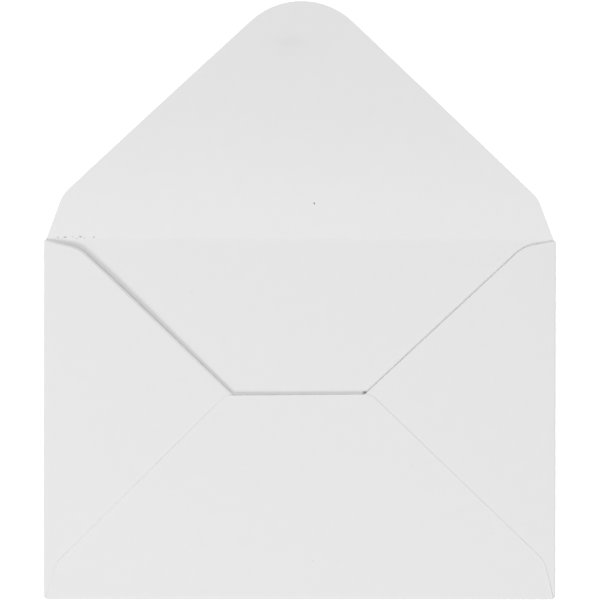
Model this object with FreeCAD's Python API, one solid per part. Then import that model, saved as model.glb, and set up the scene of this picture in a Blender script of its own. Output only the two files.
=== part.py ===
import FreeCAD, Part
import math
import os

# An empty paper envelope of the C6 size, lying open on its back with its flap side up.
# It is one die-cut sheet: a back panel, two side flaps folded in over it, a bottom flap folded up and
# glued onto the side flaps, and a pointed top flap that lies open beyond the crease.
# X runs across the envelope, Y from the bottom fold towards the tip of the top flap, Z up.
# The origin is the middle of the lying envelope, on the surface that it lies on. Sizes in millimetres.

Vector = FreeCAD.Vector

# The sheet and its folds
paper_thickness = 0.15
side_fold_radius = 0.15  # inside of the two side folds
seam_press = 0.03  # how far the glued layers are pressed into each other
corner_notch = 0.35  # cut across each corner, between two neighbouring folds

# The closed pocket, over its folds
pocket_width = 162.0
pocket_height = 114.0  # bottom fold to crease

# The top flap, measured from the crease, with its shoulders measured from the side folds
top_reach = 75.5
top_shoulder_inset = 5.9
top_shoulder_rise = 13.55
top_shoulder_radius = 10.0
top_tip_radius = 23.4

# The opened top flap springs up from the crease and bends down again to its tip. Its curve is drawn
# smoothly along straight lines through these two heights, at these distances from the crease.
top_spring = 2.4
top_spring_reach = 20.0
top_bend = 1.75
top_bend_reach = 48.0
top_tip_lift = 0.05  # of the tip above the surface that the envelope lies on

# The two side flaps, with their shoulders measured from the side fold and from the flap's end
side_tip_gap = 34.4  # between the two tips, hidden under the bottom flap
side_shoulder_inset = 10.8
side_shoulder_drop = 2.4
side_shoulder_radius = 10.8
side_tip_radius = 10.0

# The bottom flap, with its shoulders measured from the side folds and the bottom fold
mouth_depth = 49.15  # crease to the bottom flap's upper edge
throat_width = 46.0  # of that upper edge, between its corners before rounding
throat_corner_radius = 4.3
bottom_shoulder_inset = 3.5
bottom_shoulder_rise = 11.7
bottom_shoulder_radius = 8.0

# How far each flap is turned clockwise on its fold, in degrees, because the folds lie a touch askew
top_skew = 0.4
side_skew = 0.4
bottom_skew = -0.5

# The bow of the pocket's front: how far it stands above its pressed-flat height, at the crease
bow_left = 1.5
bow_left_corner = 0.78  # in line with the corners of the bottom flap's upper edge
bow_middle = 0.58
bow_right_corner = 0.6
bow_right = 0.33
bow_throat_share = 0.47  # share of the bow that is left at the bottom flap's upper edge
bow_low_share = 0.45  # share that is left near the bottom fold
side_ramp = 8.0  # width along each side fold over which the front rises
bottom_ramp = 20.0  # the same along the bottom fold

# Heights of the layers where the folds begin
side_layer = paper_thickness + 2 * side_fold_radius  # underside of the side flaps
seam_layer = side_layer + paper_thickness - seam_press  # underside of the bottom flap
bottom_fold_radius = (seam_layer - paper_thickness) / 2

# Places of the folds and the crease
side_fold = pocket_width / 2 - side_fold_radius - paper_thickness
crease = (pocket_height - top_reach) / 2
bottom_edge = crease - pocket_height
bottom_fold = bottom_edge + bottom_fold_radius + paper_thickness
throat = crease - mouth_depth

# Cutting shapes reach this far past the sheets that they cut
spare = 5.0
# The top flap's sheet reaches this far past its tip before it is cut
tip_margin = 0.5


def rounded_outline(corners):
    """Closed flat wire through corners (x, y, radius), each rounded with its own radius."""
    points = [Vector(x, y, -spare) for x, y, radius in corners]
    bends = []
    for index, corner in enumerate(corners):
        point = points[index]
        back = (points[index - 1] - point).normalize()
        ahead = (points[(index + 1) % len(points)] - point).normalize()
        half_angle = back.getAngle(ahead) / 2
        radius = corner[2]
        start = point + back * (radius / math.tan(half_angle))
        end = point + ahead * (radius / math.tan(half_angle))
        middle = point + (back + ahead).normalize() * (radius / math.sin(half_angle) - radius)
        bends.append((start, middle, end))
    edges = []
    for index, (start, middle, end) in enumerate(bends):
        if corners[index][2] > 0:
            edges.append(Part.Arc(start, middle, end).toShape())
        next_start = bends[(index + 1) % len(bends)][0]
        edges.append(Part.LineSegment(end, next_start).toShape())
    return Part.Wire(edges)


def cutter(corners):
    """Upright block with a rounded outline, tall enough to cut one flap out of a sheet."""
    return Part.Face(rounded_outline(corners)).extrude(Vector(0, 0, 3 * spare))


def beyond(inner, base):
    """The point on the line from inner through base that lies past the base, so that a cut passes it."""
    step = (base[0] - inner[0], base[1] - inner[1])
    length = math.hypot(step[0], step[1])
    return (base[0] + step[0] / length * spare, base[1] + step[1] / length * spare, 0)


def tip_corner(shoulder, reach, radius):
    """Distance from the base to the sharp corner, on the flap's middle line, that radius rounds to reach.

    The edge from the shoulder (half width, height) touches the tip's circle, and the corner lies
    where that edge meets the middle line.
    """
    half_width, height = shoulder
    rise = reach - radius - height
    to_centre = math.atan2(rise, half_width)
    lean = math.asin(radius / math.hypot(rise, half_width))
    return height + half_width * math.tan(to_centre + lean)


def turned(corner, hinge, degrees):
    """A corner (x, y, radius) turned clockwise about a point (x, y) in the middle of its fold."""
    x, y = corner[0] - hinge[0], corner[1] - hinge[1]
    angle = math.radians(degrees)
    turned_x = x * math.cos(angle) + y * math.sin(angle)
    turned_y = y * math.cos(angle) - x * math.sin(angle)
    return (hinge[0] + turned_x, hinge[1] + turned_y, corner[2])


def flap_outline(first_base, corners, last_base, skew):
    """Outline of a flap on its fold: the corners are turned by the skew, the two ends of the fold stay."""
    hinge = ((first_base[0] + last_base[0]) / 2, (first_base[1] + last_base[1]) / 2)
    free = [turned(corner, hinge, skew) for corner in corners]
    return [beyond(free[0], first_base)] + free + [beyond(free[-1], last_base)]


def back_panel():
    """The flat panel that lies underneath, with its four corners cut across."""
    left, right = -side_fold, side_fold
    low, high = bottom_fold, crease
    points = [
        (left + corner_notch, low),
        (right - corner_notch, low),
        (right, low + corner_notch),
        (right, high - corner_notch),
        (right - corner_notch, high),
        (left + corner_notch, high),
        (left, high - corner_notch),
        (left, low + corner_notch),
    ]
    loop = [Vector(x, y, 0) for x, y in points + points[:1]]
    return Part.Face(Part.makePolygon(loop)).extrude(Vector(0, 0, paper_thickness))


def fold_section(inner_radius):
    """Half ring in the XZ plane, open towards +X: the paper turned back over itself at a fold."""
    outer_radius = inner_radius + paper_thickness
    centre = Vector(0, 0, outer_radius)

    def ring_arc(radius):
        low = centre - Vector(0, 0, radius)
        high = centre + Vector(0, 0, radius)
        return Part.Arc(low, centre - Vector(radius, 0, 0), high).toShape()

    def end(side):
        near = centre + Vector(0, 0, side * inner_radius)
        far = centre + Vector(0, 0, side * outer_radius)
        return Part.LineSegment(near, far).toShape()

    edges = [ring_arc(outer_radius), end(1), ring_arc(inner_radius), end(-1)]
    return Part.Face(Part.Wire(Part.__sortEdges__(edges)))


def side_fold_strip(side):
    """Round fold along the left (-1) or right (+1) edge, between the corner cuts."""
    low = bottom_fold + corner_notch
    length = crease - corner_notch - low
    strip = fold_section(side_fold_radius).extrude(Vector(0, length, 0))
    strip.translate(Vector(-side_fold, low, 0))
    if side > 0:
        strip = strip.mirror(Vector(0, 0, 0), Vector(1, 0, 0))
    return strip


def bottom_fold_strip():
    """Round fold along the lower edge, half a sheet wider inside because it wraps the side flaps."""
    left = -side_fold + corner_notch
    strip = fold_section(bottom_fold_radius).extrude(Vector(0, 2 * left, 0))
    strip.rotate(Vector(0, 0, 0), Vector(0, 0, 1), 90)
    strip.translate(Vector(left, bottom_fold, 0))
    return strip


def spread(knots):
    """Places of the control points that leave a clamped cubic spline on these knots unstretched."""
    full = [knots[0]] * 3 + knots + [knots[-1]] * 3
    return [sum(full[index + 1 : index + 4]) / 3 for index in range(len(full) - 4)]


def between(places, heights, place):
    """Straight-line value at a place, between named heights at rising places."""
    for index in range(len(places) - 1):
        if place <= places[index + 1]:
            part = (place - places[index]) / (places[index + 1] - places[index])
            return heights[index] + part * (heights[index + 1] - heights[index])
    return heights[-1]


def curved_sheet(x_knots, y_knots, height):
    """Sheet of paper whose underside is a smooth surface drawn along height(x, y)."""
    poles = [[Vector(x, y, height(x, y)) for y in spread(y_knots)] for x in spread(x_knots)]
    surface = Part.BSplineSurface()
    surface.buildFromPolesMultsKnots(
        poles,
        [4] + [1] * (len(x_knots) - 2) + [4],
        [4] + [1] * (len(y_knots) - 2) + [4],
        x_knots,
        y_knots,
        False,
        False,
        3,
        3,
    )
    return surface.toShape().extrude(Vector(0, 0, paper_thickness))


def bowed_sheet(base_height):
    """Sheet over the whole pocket, bowed up between its three folds.

    Its height is base_height plus a bow across X times a share along Y. It springs up at once from the
    side folds, but leaves the bottom fold level.
    """
    corner = throat_width / 2
    ramp_end = side_fold - side_ramp
    x_marks = [-side_fold, -ramp_end, -corner, 0, corner, ramp_end, side_fold]
    bows = [0, bow_left, bow_left_corner, bow_middle, bow_right_corner, bow_right, 0]
    x_knots = sorted(x_marks + [-side_fold / 2, side_fold / 2])
    y_marks = [bottom_fold, bottom_fold + bottom_ramp, throat, crease]
    level_end = spread(y_marks)[1]

    def height(x, y):
        bow = between(x_marks, bows, x)
        share = between(y_marks, [0, bow_low_share, bow_throat_share, 1], y)
        return base_height + (bow * share if y > level_end else 0)

    return curved_sheet(x_knots, y_marks, height)


def side_flap(side):
    """Left (-1) or right (+1) flap, folded in over the back panel, with a rounded tip at mid-height."""
    low = bottom_fold + corner_notch
    high = crease - corner_notch
    middle = (low + high) / 2
    fold = side * side_fold
    shoulder = pocket_width / 2 - side_shoulder_inset
    reach = side_fold - side_tip_gap / 2
    rise = (high - low) / 2 - side_shoulder_drop + corner_notch
    tip = tip_corner((rise, side_fold - shoulder), reach, side_tip_radius)
    corners = [
        (side * shoulder, middle - rise, side_shoulder_radius),
        (fold - side * tip, middle, side_tip_radius),
        (side * shoulder, middle + rise, side_shoulder_radius),
    ]
    outline = flap_outline((fold, low), corners, (fold, high), side_skew)
    return bowed_sheet(side_layer).common(cutter(outline))


def bottom_flap():
    """Flap folded up from the bottom over the side flaps, with a straight upper edge at the throat."""
    base = side_fold - corner_notch
    shoulder = pocket_width / 2 - bottom_shoulder_inset
    shoulder_height = bottom_edge + bottom_shoulder_rise
    corners = [
        (shoulder, shoulder_height, bottom_shoulder_radius),
        (throat_width / 2, throat, throat_corner_radius),
        (-throat_width / 2, throat, throat_corner_radius),
        (-shoulder, shoulder_height, bottom_shoulder_radius),
    ]
    outline = flap_outline((base, bottom_fold), corners, (-base, bottom_fold), bottom_skew)
    return bowed_sheet(seam_layer).common(cutter(outline))


def sprung_sheet():
    """Sheet that springs up from the crease, bends over and comes down where the flap ends."""
    fall = (top_bend - top_tip_lift) / (top_reach - top_bend_reach)
    marks = [0, top_spring_reach, top_bend_reach, top_reach + tip_margin]
    heights = [0, top_spring, top_bend, top_tip_lift - fall * tip_margin]
    y_knots = [crease + mark for mark in marks]
    half_width = pocket_width / 2
    return curved_sheet([-half_width, half_width], y_knots, lambda x, y: between(y_knots, heights, y))


def top_flap():
    """Opened flap with two shoulders and a round tip, cut from the sprung sheet."""
    base = side_fold - corner_notch
    half_width = pocket_width / 2 - top_shoulder_inset
    tip = tip_corner((half_width, top_shoulder_rise), top_reach, top_tip_radius)
    corners = [
        (half_width, crease + top_shoulder_rise, top_shoulder_radius),
        (0, crease + tip, top_tip_radius),
        (-half_width, crease + top_shoulder_rise, top_shoulder_radius),
    ]
    outline = flap_outline((base, crease), corners, (-base, crease), top_skew)
    return sprung_sheet().common(cutter(outline))


def envelope():
    """The whole folded and glued sheet as one solid."""
    pieces = [side_fold_strip(-1), side_fold_strip(1), side_flap(-1), side_flap(1)]
    pieces += [bottom_fold_strip(), bottom_flap(), top_flap()]
    return back_panel().multiFuse(pieces).removeSplitter()


def save(name, shape):
    """Writes one node's STEP file."""
    os.makedirs("parts", exist_ok=True)
    shape.exportStep("parts/" + name + ".step")


save("envelope", envelope())
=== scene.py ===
import bmesh
import bpy
import numpy as np
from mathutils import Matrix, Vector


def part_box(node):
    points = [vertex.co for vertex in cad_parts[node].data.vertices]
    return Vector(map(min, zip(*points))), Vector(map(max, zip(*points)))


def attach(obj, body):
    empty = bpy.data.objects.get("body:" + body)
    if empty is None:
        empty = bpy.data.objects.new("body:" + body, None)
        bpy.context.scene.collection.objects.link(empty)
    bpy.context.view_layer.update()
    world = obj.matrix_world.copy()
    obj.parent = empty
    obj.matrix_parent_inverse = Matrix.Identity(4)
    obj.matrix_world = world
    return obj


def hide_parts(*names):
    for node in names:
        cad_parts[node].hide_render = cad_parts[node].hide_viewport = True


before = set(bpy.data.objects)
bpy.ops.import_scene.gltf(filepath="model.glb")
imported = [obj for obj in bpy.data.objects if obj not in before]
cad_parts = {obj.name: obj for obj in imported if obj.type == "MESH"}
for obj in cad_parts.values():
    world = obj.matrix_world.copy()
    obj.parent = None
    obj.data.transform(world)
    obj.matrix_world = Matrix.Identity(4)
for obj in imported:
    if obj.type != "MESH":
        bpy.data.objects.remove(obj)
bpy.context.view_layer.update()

# The envelope
# It is one die-cut sheet of smooth white paper: a back panel, two side flaps folded in over it, a bottom
# flap folded up and gummed onto the side flaps, and a pointed top flap that lies open beyond the crease.
# Its sheet is worked out here in millimetres, as the surface midway through the paper.

MM = 0.001
low_corner, high_corner = (np.array(corner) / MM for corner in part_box("envelope"))
half_width = high_corner[0]
bottom_edge = low_corner[1]
top_tip = high_corner[1]

paper = 0.15
side_radius = 0.225
seam_rise = 0.12  # of the bottom flap over the side flaps that it is gummed to
bottom_radius = side_radius + seam_rise / 2
notch = 0.35  # cut across each corner, between two folds
pocket_height = 114.0  # bottom fold to crease
mouth_depth = 49.15  # crease to the bottom flap's upper edge

crease = bottom_edge + pocket_height
side_fold = half_width - side_radius - paper / 2
bottom_fold = bottom_edge + bottom_radius + paper / 2
throat = crease - mouth_depth


def rounded_outline(corners, radii, skew_degrees, steps=14):
    """Points x + iy along a flap's free edge, from one end of its fold to the other.

    The first and last corners are the ends of the fold. The others are turned clockwise by the skew about
    the middle of the fold, and each becomes an arc: centre + radius * exp(i * angle), where the centre
    lies on the line that halves the corner, radius / sin(half the corner's angle) away from it.
    """
    corners = np.array(corners, complex)
    radii = np.array([0, *radii, 0], float)
    hinge = (corners[0] + corners[-1]) / 2
    corners[1:-1] = hinge + (corners[1:-1] - hinge) * np.exp(-1j * np.radians(skew_degrees))
    back = np.roll(corners, 1) - corners
    ahead = np.roll(corners, -1) - corners
    back /= np.abs(back)
    ahead /= np.abs(ahead)
    corner_angle = np.angle(ahead / back)
    half_angle = np.abs(corner_angle) / 2
    inwards = (back + ahead) / np.abs(back + ahead)
    centre = corners + inwards * radii / np.sin(half_angle)
    start = np.angle(-inwards) + np.sign(corner_angle) * (np.pi / 2 - half_angle)
    sweep = -np.sign(corner_angle) * (np.pi - 2 * half_angle)
    angle = start[:, None] + sweep[:, None] * np.linspace(0, 1, steps)
    return (centre[:, None] + radii[:, None] * np.exp(1j * angle)).ravel()


def sharp_tip(shoulder_out, shoulder_up, reach, radius):
    """How far up the flap's edges would meet in a sharp corner, which radius rounds down to reach.

    The edge leaves its shoulder and touches the tip's circle, so it leans away from the line to the
    circle's centre by asin(radius / distance).
    """
    rise = reach - radius - shoulder_up
    lean = np.arctan2(rise, shoulder_out) + np.arcsin(radius / np.hypot(rise, shoulder_out))
    return shoulder_up + shoulder_out * np.tan(lean)


# Free edge of the top flap, with two shoulders and a round tip
top_shoulder_inset = 5.9
top_shoulder_rise = 13.55
top_shoulder_radius = 10.0
top_tip_radius = 23.4
top_skew = 0.4
fold_half = side_fold - notch
top_reach = top_tip - crease
top_shoulder = half_width - top_shoulder_inset
top_edge = rounded_outline(
    [
        fold_half + 1j * crease,
        top_shoulder + 1j * (crease + top_shoulder_rise),
        1j * (crease + sharp_tip(top_shoulder, top_shoulder_rise, top_reach, top_tip_radius)),
        -top_shoulder + 1j * (crease + top_shoulder_rise),
        -fold_half + 1j * crease,
    ],
    [top_shoulder_radius, top_tip_radius, top_shoulder_radius],
    top_skew,
)

# Free edge of the bottom flap, with two shoulders and a straight stretch at the throat
bottom_shoulder_inset = 3.5
bottom_shoulder_rise = 11.7
bottom_shoulder_radius = 8.0
throat_half = 23.0
throat_corner_radius = 4.3
bottom_skew = -0.5
bottom_shoulder = half_width - bottom_shoulder_inset + 1j * (bottom_edge + bottom_shoulder_rise)
throat_corner = throat_half + 1j * throat
bottom_free = rounded_outline(
    [
        fold_half + 1j * bottom_fold,
        bottom_shoulder,
        throat_corner,
        -throat_corner.conjugate(),
        -bottom_shoulder.conjugate(),
        -fold_half + 1j * bottom_fold,
    ],
    [bottom_shoulder_radius, throat_corner_radius, throat_corner_radius, bottom_shoulder_radius],
    bottom_skew,
)

# Free edges of the side flaps, each with two shoulders and a round tip that the bottom flap hides
side_shoulder_inset = 10.8
side_shoulder_drop = 2.4
side_shoulder_radius = 10.8
side_tip_gap = 34.4  # between the two tips
side_tip_radius = 10.0
side_skew = 0.4
side_low = bottom_fold + notch
side_high = crease - notch
side_middle = (side_low + side_high) / 2
side_shoulder = half_width - side_shoulder_inset
side_shoulder_out = crease - side_shoulder_drop - side_middle
side_reach = side_fold - side_tip_gap / 2
side_tip = side_fold - sharp_tip(side_shoulder_out, side_fold - side_shoulder, side_reach, side_tip_radius)
side_free = {
    side: rounded_outline(
        [
            side * side_fold + 1j * side_low,
            side * side_shoulder + 1j * (side_middle - side_shoulder_out),
            side * side_tip + 1j * side_middle,
            side * side_shoulder + 1j * (side_middle + side_shoulder_out),
            side * side_fold + 1j * side_high,
        ],
        [side_shoulder_radius, side_tip_radius, side_shoulder_radius],
        side_skew,
    )
    for side in (-1, 1)
}


def smooth_curve(knots, heights, places):
    """Clamped cubic spline: the sum of each height times its B-spline weight at the given places.

    The weights start as 1 between two knots, and three times over each one is blended with its neighbour
    in proportion to how far the place lies between their knots.
    """
    knots = np.concatenate(([knots[0]] * 3, knots, [knots[-1]] * 3))
    place = np.clip(np.asarray(places, float).ravel(), knots[0], knots[-1] - 1e-9)[:, None]
    weight = ((knots[:-1] <= place) & (place < knots[1:])).astype(float)
    for degree in (1, 2, 3):
        gap = np.maximum(knots[degree:] - knots[:-degree], 1e-12)
        rising = (place - knots[:-degree]) / gap
        weight = rising[:, :-1] * weight[:, :-1] + (1 - rising[:, 1:]) * weight[:, 1:]
    return (weight @ heights).reshape(np.shape(places))


def control_heights(knots, mark_places, mark_heights):
    """Control heights of a spline on these knots, read off straight lines between the marks."""
    knots = np.concatenate(([knots[0]] * 3, knots, [knots[-1]] * 3))
    places = (knots[1:-3] + knots[2:-2] + knots[3:-1]) / 3
    return np.interp(places, mark_places, mark_heights)


# The pocket's front bows up within a ramp along each side fold, and less towards the bottom fold, which it
# leaves level: the first two control heights there are nought
side_ramp = 8.0
ramp_end = side_fold - side_ramp
bow_marks = [-side_fold, -ramp_end, -throat_half, 0, throat_half, ramp_end, side_fold]
bows = [0, 1.5, 0.78, 0.58, 0.6, 0.33, 0]
bow_knots = sorted([*bow_marks, -side_fold / 2, side_fold / 2])
bow_across = control_heights(bow_knots, bow_marks, bows)
bottom_ramp = 20.0
share_marks = [bottom_fold, bottom_fold + bottom_ramp, throat, crease]
bow_shares = [0, 0.45, 0.47, 1]
share_along = control_heights(share_marks, share_marks, bow_shares)
share_along[[0, 1]] = 0


def front_bow(x, y):
    """How far the pocket's front stands above its pressed height: a curve across times a share along."""
    return smooth_curve(bow_knots, bow_across, x) * smooth_curve(share_marks, share_along, y)


# The opened flap springs up from the crease, bends over and comes down a little past its tip
spring_reach = 20.0
spring = 2.4
bend_reach = 48.0
bend = 1.75
tip_lift = 0.05
past_tip = 0.5
fall = (bend - tip_lift) / (top_reach - bend_reach)
flap_marks = [0, spring_reach, bend_reach, top_reach + past_tip]
flap_heights = [0, spring, bend, tip_lift - fall * past_tip]
flap_rise = control_heights(flap_marks, flap_marks, flap_heights)
crease_softness = 0.5


def crease_rise(y):
    """Height of the opened flap, and of the last half millimetre of the panel before the crease.

    Past the crease it is a curve that springs up and bends down again to the tip. The distance from the
    crease, v, is softened to (v + sqrt(v * v + softness * softness)) / 2, which rounds the bend.
    """
    past = y - crease
    past = (past + np.sqrt(past**2 + crease_softness**2)) / 2
    return smooth_curve(flap_marks, flap_rise, past)


def fold_arc(radius, steps=9):
    """Half circle that turns the sheet back over itself: distance beyond the fold, and height."""
    angle = np.linspace(np.pi, 0, steps)
    return radius * np.sin(angle), paper / 2 + radius + radius * np.cos(angle)


def joined_places(smallest, *lists):
    """All the places in rising order, without those nearer than smallest to the one before."""
    places = np.unique(np.concatenate(lists))
    gaps = np.diff(places)
    keep = np.concatenate(([True], gaps[:-1] > smallest, [True]))
    return places[keep]


# Rows and columns of the sheet follow the corners of the flaps' edges, so that the edges stay true
smallest_step = 0.08
shoulder_step = 0.4
shoulder_count = 14
column_count = 61
shoulder_columns = fold_half - shoulder_step * np.arange(shoulder_count)
even_columns = np.linspace(-fold_half, fold_half, column_count)
columns = joined_places(
    smallest_step, top_edge.real, bottom_free.real, shoulder_columns, -shoulder_columns, even_columns
)
crease_step = 0.15
crease_count = 8
crease_crowding = 1.5
row_count = 41
near_crease = crease - crease_step * np.arange(1, crease_count + 1) ** crease_crowding
near_crease = near_crease[near_crease < side_high]
even_rows = np.linspace(side_low, side_high, row_count)
rows = joined_places(smallest_step, side_free[-1].imag, side_free[1].imag, near_crease, even_rows)

# From its fold to its free edge each flap has these many points, crowded towards the fold by a power
flap_steps = 27
side_crowding = 1.25
bottom_crowding = 1.1
top_steps = 41
top_crowding = 2

mesh_points = []
mesh_faces = []


def add_surface(x, y, z):
    """Adds a grid of points, in millimetres, and the four-sided faces between its neighbours."""
    shape = np.broadcast_shapes(np.shape(x), np.shape(y), np.shape(z))
    points = np.stack([np.broadcast_to(part, shape) for part in (x, y, z)], axis=-1).reshape(-1, 3)
    first = sum(len(done) for done in mesh_points)
    number = first + np.arange(len(points)).reshape(shape)
    around = [number[:-1, :-1], number[1:, :-1], number[1:, 1:], number[:-1, 1:]]
    mesh_points.append(points * MM)
    mesh_faces.append(np.stack(around, axis=-1).reshape(-1, 4))


# Back panel, flat on the floor, with its four corners cut across
panel_x, panel_y = np.meshgrid(
    np.concatenate(([-side_fold], columns, [side_fold])),
    np.concatenate(([bottom_fold], rows, [crease])),
    indexing="ij",
)
for i, j in ((0, 0), (0, -1), (-1, 0), (-1, -1)):
    panel_x[i, j] -= np.sign(panel_x[i, j]) * notch / 2
    panel_y[i, j] += (1 if j == 0 else -1) * notch / 2
add_surface(panel_x, panel_y, paper / 2 + crease_rise(panel_y))

# Side flaps, each from its round fold to its free edge. The left one's edge rolls down by a share of the
# bow, in the last part of a finely divided rim, and reaches a little further towards its upper shoulder
rim_width = 1.1
widest_rim_share = 0.8
rim_steps = 12
roll_width = 0.7
roll_depths = {-1: 0.33, 1: 0}
roll_reaches = {-1: 0.2, 1: 0}
reach_marks = [throat, crease - 25, crease - 12, crease - 4]
side_share = np.linspace(0, 1, flap_steps) ** side_crowding
rim_share = np.linspace(0, 1, rim_steps)[1:]
rolled = np.clip(1 - (1 - rim_share) * rim_width / roll_width, 0, 1)
rolled = np.concatenate((0 * side_share, rolled))[:, None]
for side in (-1, 1):
    beyond, height = fold_arc(side_radius)
    add_surface(
        side * (side_fold + beyond[:, None]),
        rows[None, :],
        height[:, None] + crease_rise(rows)[None, :],
    )
    order = np.argsort(side_free[side].imag)
    edge_x = np.interp(rows, side_free[side].imag[order], side_free[side].real[order])
    slant = np.hypot(1, np.gradient(edge_x, rows))
    longer = roll_reaches[side] * slant * np.interp(rows, reach_marks, [0, 1, 1, 0])
    reach = np.abs(edge_x - side * side_fold) + longer
    rim = np.minimum(rim_width * slant, widest_rim_share * reach)
    inner = np.outer(side_share, reach - rim)
    outer = reach - np.outer(1 - rim_share, rim)
    flap_x = side * (side_fold - np.concatenate((inner, outer)))
    flap_y = np.broadcast_to(rows, flap_x.shape)
    bow = front_bow(flap_x, flap_y) * (1 - roll_depths[side] * rolled)
    add_surface(flap_x, flap_y, paper / 2 + 2 * side_radius + bow + crease_rise(flap_y))

# Bottom flap, over the side flaps. Its gum stops short of its free edge, which stands off as a thin lip,
# more at some places across than at others
beyond, height = fold_arc(bottom_radius)
add_surface(columns[:, None], bottom_fold - beyond[None, :], height[None, :])
order = np.argsort(bottom_free.real)
edge_y = np.interp(columns, bottom_free.real[order], bottom_free.imag[order])
lip_width = 2.0
widest_lip_share = 0.8
lip_steps = 9
lip_places = [-half_width, -50, -29, -throat_half, 0, throat_half, 29, 45, 76, half_width]
lip_heights = [0.12, 0.065, 0.12, 0.05, 0, 0.02, 0.04, 0.005, 0.02, 0.2]
lip_height = np.interp(columns, lip_places, lip_heights)
slant = np.hypot(1, np.gradient(edge_y, columns))
lip_along = np.minimum(lip_width * slant, widest_lip_share * (edge_y - bottom_fold))
inner_share = np.linspace(0, 1, flap_steps) ** bottom_crowding
lip_share = np.linspace(0, 1, lip_steps)[1:]
inner_y = bottom_fold + np.outer(edge_y - lip_along - bottom_fold, inner_share)
lip_y = edge_y[:, None] - np.outer(lip_along, 1 - lip_share)
flap_y = np.concatenate((inner_y, lip_y), axis=1)
lip = np.outer(lip_height, np.concatenate((0 * inner_share, lip_share**2)))
flap_x = np.broadcast_to(columns[:, None], flap_y.shape)
add_surface(flap_x, flap_y, paper / 2 + 2 * bottom_radius + front_bow(flap_x, flap_y) + lip)

# Top flap, open
order = np.argsort(top_edge.real)
edge_y = np.interp(columns, top_edge.real[order], top_edge.imag[order])[:, None]
share = np.linspace(0, 1, top_steps)[None, :] ** top_crowding
flap_y = crease + share * (edge_y - crease)
add_surface(columns[:, None], flap_y, paper / 2 + crease_rise(flap_y))

mesh = bpy.data.meshes.new("envelope_paper")
mesh.from_pydata(np.concatenate(mesh_points), [], np.concatenate(mesh_faces))
welded = bmesh.new()
welded.from_mesh(mesh)
weld_distance = 0.002 * MM
bmesh.ops.remove_doubles(welded, verts=welded.verts, dist=weld_distance)
bmesh.ops.dissolve_degenerate(welded, edges=welded.edges, dist=weld_distance)
bmesh.ops.recalc_face_normals(welded, faces=welded.faces)
welded.to_mesh(mesh)
welded.free()
envelope = bpy.data.objects.new("envelope_paper", mesh)
bpy.context.scene.collection.objects.link(envelope)

thickness = envelope.modifiers.new("paper", "SOLIDIFY")
thickness.thickness = paper * MM
thickness.offset = 0
thickness.use_even_offset = True
bpy.context.view_layer.update()
solid = bpy.data.meshes.new_from_object(envelope.evaluated_get(bpy.context.evaluated_depsgraph_get()))
envelope.modifiers.clear()
envelope.data = solid
solid.shade_smooth()
cut_edge_angle = np.radians(50)
solid.set_sharp_from_angle(angle=cut_edge_angle)

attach(envelope, "root")
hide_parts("envelope")

# The paper's surface
# Smooth uncoated white paper, whose fibres form faint clouds and a fine tooth. Dust lies on it, its fibres
# are broken at the crease's left end, a soft grey smudge lies near the tip inside a wider patch of painted
# shade, and painted shade darkens the throat's right corner. Sizes are in millimetres, depths are shares
# of the paper's white.
paper_white = 0.745
cloud_width = 5.0
cloud_depth = 0.005
fibre_depth = 0.008
fibre_width = 0.12
fibre_slants = ((24.0, 1.6), (-52.0, 1.1))
fibre_height = 0.004
tooth_width = 0.25
tooth_height = 0.006
ragged_width = 0.4
ragged_reach = 0.5

paper_material = bpy.data.materials.new("paper")
paper_material.use_nodes = True
nodes = paper_material.node_tree.nodes
links = paper_material.node_tree.links
shader = nodes["Principled BSDF"]
shader.inputs["Roughness"].default_value = 0.8
shader.inputs["Specular IOR Level"].default_value = 0.3


def add_node(kind, inputs, output=0, **settings):
    """Adds a shader node, sets or links its inputs by name or number, and returns one of its outputs."""
    new_node = nodes.new("ShaderNode" + kind)
    for setting, value in settings.items():
        setattr(new_node, setting, value)
    for socket, value in inputs.items():
        if isinstance(value, bpy.types.NodeSocket):
            links.new(value, new_node.inputs[socket])
        else:
            new_node.inputs[socket].default_value = value
    return new_node.outputs[output]


def calculate(operation, first, second):
    """One sum, product or other operation on two numbers or outputs."""
    return add_node("Math", {0: first, 1: second}, operation=operation)


def rescaled(value, low, high, from_low=0.0, from_high=1.0, curve="LINEAR"):
    """A value's range stretched from one pair of limits to another."""
    limits = {"Value": value, "From Min": from_low, "From Max": from_high, "To Min": low, "To Max": high}
    return add_node("MapRange", limits, interpolation_type=curve)


def cloud(place, feature, detail):
    """Soft noise from 0 to 1 whose patches are about as wide as the feature, in millimetres."""
    return add_node("TexNoise", {"Vector": place, "Scale": 1 / (feature * MM), "Detail": detail})


place = add_node("TexCoord", {}, output="Object")
formation = cloud(place, cloud_width, detail=4)
formation = rescaled(formation, 1 - cloud_depth, 1 + cloud_depth, from_low=0.25, from_high=0.75)
tone = calculate("MULTIPLY", formation, paper_white)

# Fibres lie at two slants across the sheet, in degrees, each a noise drawn out along it to a length
fibres = 0.0
for slant, length in fibre_slants:
    slanted = {"Vector": place, "Rotation": (0, 0, np.radians(slant)), "Scale": (length / fibre_width, 1, 1)}
    turned = add_node("Mapping", slanted, vector_type="TEXTURE")
    strands = rescaled(cloud(turned, fibre_width, detail=1), -1, 1, from_low=0.3, from_high=0.7)
    fibres = calculate("ADD", fibres, strands)
streaks = rescaled(fibres, 1 - fibre_depth, 1 + fibre_depth, from_low=-2, from_high=2)
tone = calculate("MULTIPLY", tone, streaks)

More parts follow.
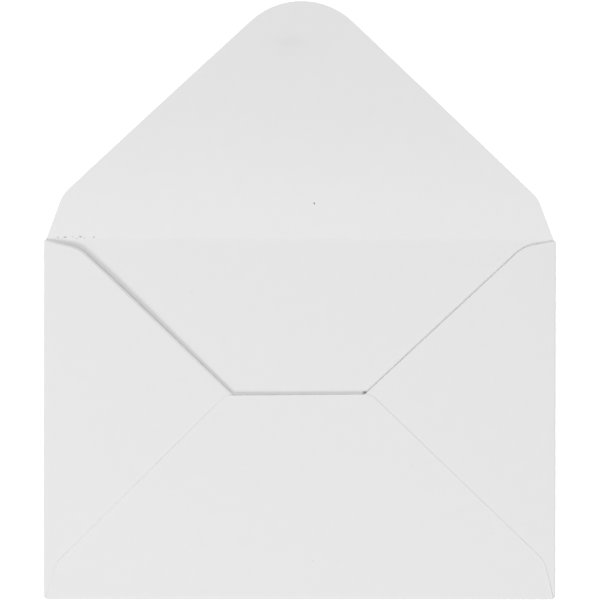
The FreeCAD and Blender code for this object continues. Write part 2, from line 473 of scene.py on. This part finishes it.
# Marks on the upper side: across, past the crease, half width, half height, and depth
dust = [
    (4.45, 11.4, 0.27, 0.42, 0.85),
    (4.1, -101.7, 0.25, 0.2, 0.25),
    (35.3, -71.5, 0.4, 0.15, 0.12),
    (61.3, -93.1, 0.2, 0.3, 0.12),
    (-13.5, -77.5, 0.2, 0.25, 0.12),
    (-34.4, -16.8, 0.25, 0.2, 0.12),
]
broken_fibres = [
    (-77.6, 0.1, 0.35, 0.25, 0.14),
    (-76.6, 0.5, 0.35, 0.35, 0.34),
    (-75.4, 0.1, 0.35, 0.25, 0.2),
    (-74.3, 0.6, 0.65, 0.32, 0.42),
    (-71.9, 0.7, 0.4, 0.35, 0.16),
    (-70.6, 0.2, 0.45, 0.25, 0.2),
    (-69.5, 0.8, 0.6, 0.36, 0.4),
    (-68.2, 0.4, 0.35, 0.35, 0.18),
    (-65.2, 0.6, 0.35, 0.4, 0.34),
]
# A small soft grey smudge near the tip, then a wider, fainter patch of painted shade over the flap's middle
# near its tip
tip_smudge_and_painted_shade = [
    (-2.9, 62.2, 5.2, 2.1, 0.028),
    (-1.5, 61.0, 11.0, 6.0, 0.012),
]
# Painted shade: darkens the back panel in the throat's right corner, where the shadows under the bottom and
# right flaps' edges meet
corner_painted_shade = (20.6, -48.45, 1.0, 0.6, 0.6)

# Noise makes their outlines ragged, and each fades from a fifth of its half size out to a third beyond it.
# The painted corner shade lies on the back panel alone, under the flap's edge: it is gone 0.4 mm above the
# panel
full_within = 0.2
gone_beyond = 1.3
ragged_scale = 1 / (ragged_width * MM)
ragged = add_node("TexNoise", {"Vector": place, "Scale": ragged_scale, "Detail": 2}, output="Color")
ragged = add_node("VectorMath", {0: ragged, 1: (0.5, 0.5, 0.5)}, operation="SUBTRACT")
ragged = add_node("VectorMath", {0: ragged, "Scale": ragged_reach * MM}, operation="SCALE")
ragged_place = add_node("VectorMath", {0: place, 1: ragged}, operation="ADD")
upwards = add_node("SeparateXYZ", {"Vector": add_node("TexCoord", {}, output="Normal")}, output="Z")
upwards = calculate("GREATER_THAN", upwards, 0.5)
any_height = 0
panel_only = 1 / (0.3 * MM)
marks = [(mark, any_height) for mark in dust + broken_fibres + tip_smudge_and_painted_shade]
marks.append((corner_painted_shade, panel_only))
for (across, past, half_across, half_along, depth), spread_up in marks:
    centre = (across * MM, (crease + past) * MM, paper * MM)
    spread = (1 / (half_across * MM), 1 / (half_along * MM), spread_up)
    offset = add_node("VectorMath", {0: ragged_place, 1: centre}, operation="SUBTRACT")
    offset = add_node("VectorMath", {0: offset, 1: spread}, operation="MULTIPLY")
    distance = add_node("VectorMath", {0: offset}, output="Value", operation="LENGTH")
    mark = rescaled(distance, depth, 0, full_within, gone_beyond, "SMOOTHSTEP")
    mark = calculate("MULTIPLY", mark, upwards)
    tone = calculate("MULTIPLY", tone, calculate("SUBTRACT", 1, mark))

shade = add_node("CombineColor", {"Red": tone, "Green": tone, "Blue": tone})
links.new(shade, shader.inputs["Base Color"])

tooth = calculate("MULTIPLY", cloud(place, tooth_width, detail=3), tooth_height)
tooth = calculate("ADD", tooth, calculate("MULTIPLY", fibres, fibre_height))
relief = add_node("Bump", {"Height": tooth, "Strength": 1.0, "Distance": MM})
links.new(relief, shader.inputs["Normal"])

envelope.data.materials.clear()
envelope.data.materials.append(paper_material)

# Floor: a plain pale table top that glows a little, so that faint shadows beside the sheet stay white
floor_half = 3.0
floor_corners = [(x * floor_half, y * floor_half, 0) for x, y in ((-1, -1), (1, -1), (1, 1), (-1, 1))]
floor_mesh = bpy.data.meshes.new("floor")
floor_mesh.from_pydata(floor_corners, [], [(0, 1, 2, 3)])
floor = bpy.data.objects.new("floor", floor_mesh)
bpy.context.scene.collection.objects.link(floor)
floor_material = bpy.data.materials.new("floor")
floor_material.use_nodes = True
floor_shader = floor_material.node_tree.nodes["Principled BSDF"]
floor_shader.inputs["Base Color"].default_value = (0.97, 0.97, 0.97, 1)
floor_shader.inputs["Roughness"].default_value = 0.9
floor_shader.inputs["Specular IOR Level"].default_value = 0.1
floor_shader.inputs["Emission Color"].default_value = (1, 1, 1, 1)
floor_shader.inputs["Emission Strength"].default_value = 0.3
floor_mesh.materials.append(floor_material)

# Light: one large soft box overhead, one low at the near left, a faint one on the right, a dim white room
world = bpy.data.worlds.new("room")
world.use_nodes = True
world.node_tree.nodes["Background"].inputs["Color"].default_value = (1, 1, 1, 1)
world.node_tree.nodes["Background"].inputs["Strength"].default_value = 0.12
bpy.context.scene.world = world


def soft_box(name, place, size, power):
    """Square lamp at a place, facing the middle of the floor."""
    lamp = bpy.data.lights.new(name, "AREA")
    lamp.shape = "SQUARE"
    lamp.size = size
    lamp.energy = power
    holder = bpy.data.objects.new(name, lamp)
    holder.location = place
    aim = np.array(place) / np.linalg.norm(place)
    holder.rotation_euler = (np.arccos(aim[2]), 0, np.arctan2(aim[1], aim[0]) + np.pi / 2)
    bpy.context.scene.collection.objects.link(holder)


soft_box("overhead_light", (-0.26, 0.06, 1.98), 0.9, 23.5)
soft_box("near_left_light", (-0.87, -1.39, 1.15), 0.65, 18.3)
soft_box("right_light", (1.41, 0.0, 1.41), 0.65, 7.1)

# Camera: straight above, a long lens
camera_data = bpy.data.cameras.new("camera")
camera_data.lens = 132.66
camera_data.sensor_width = 36
camera_data.clip_start = 0.01
camera = bpy.data.objects.new("camera", camera_data)
camera.location = (-0.00403, 0.00115, 0.700)
camera.rotation_euler = (-0.00151, -0.00578, 0.00142)
bpy.context.scene.collection.objects.link(camera)
bpy.context.scene.camera = camera
bpy.context.scene.view_settings.view_transform = "Standard"
